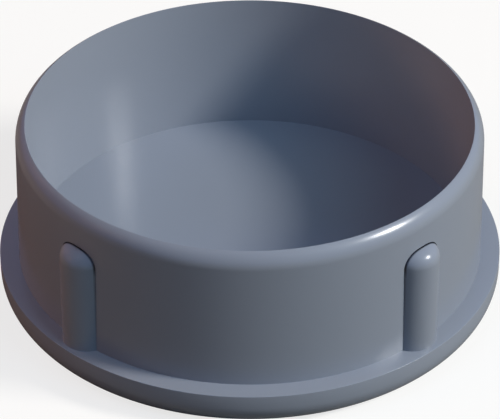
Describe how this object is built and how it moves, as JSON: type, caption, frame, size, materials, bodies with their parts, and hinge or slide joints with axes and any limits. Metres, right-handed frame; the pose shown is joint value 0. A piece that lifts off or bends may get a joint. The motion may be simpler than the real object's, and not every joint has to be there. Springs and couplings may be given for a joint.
{
  "type": "profile end plug",
  "caption": "Round plastic end plug for tube profile: a thick head with a rounded edge, and a thin-walled open cup gripped in the bore by four round-topped ribs.",
  "frame": {"origin": "centre of the head's outer face, on which the plug stands with its cup open upwards", "axes": "+Z along the plug's axis, from the head towards the open rim of the cup; +X lies halfway between two ribs, and so does +Y"},
  "size_m": [0.05, 0.05, 0.0188],
  "materials": {
    "moulded_plastic": "satin moulded polyethylene in blue grey, with a fine even mould texture"
  },
  "bodies": {
    "root": {"end_plug": "moulded_plastic"}
  },
  "joints": []
}
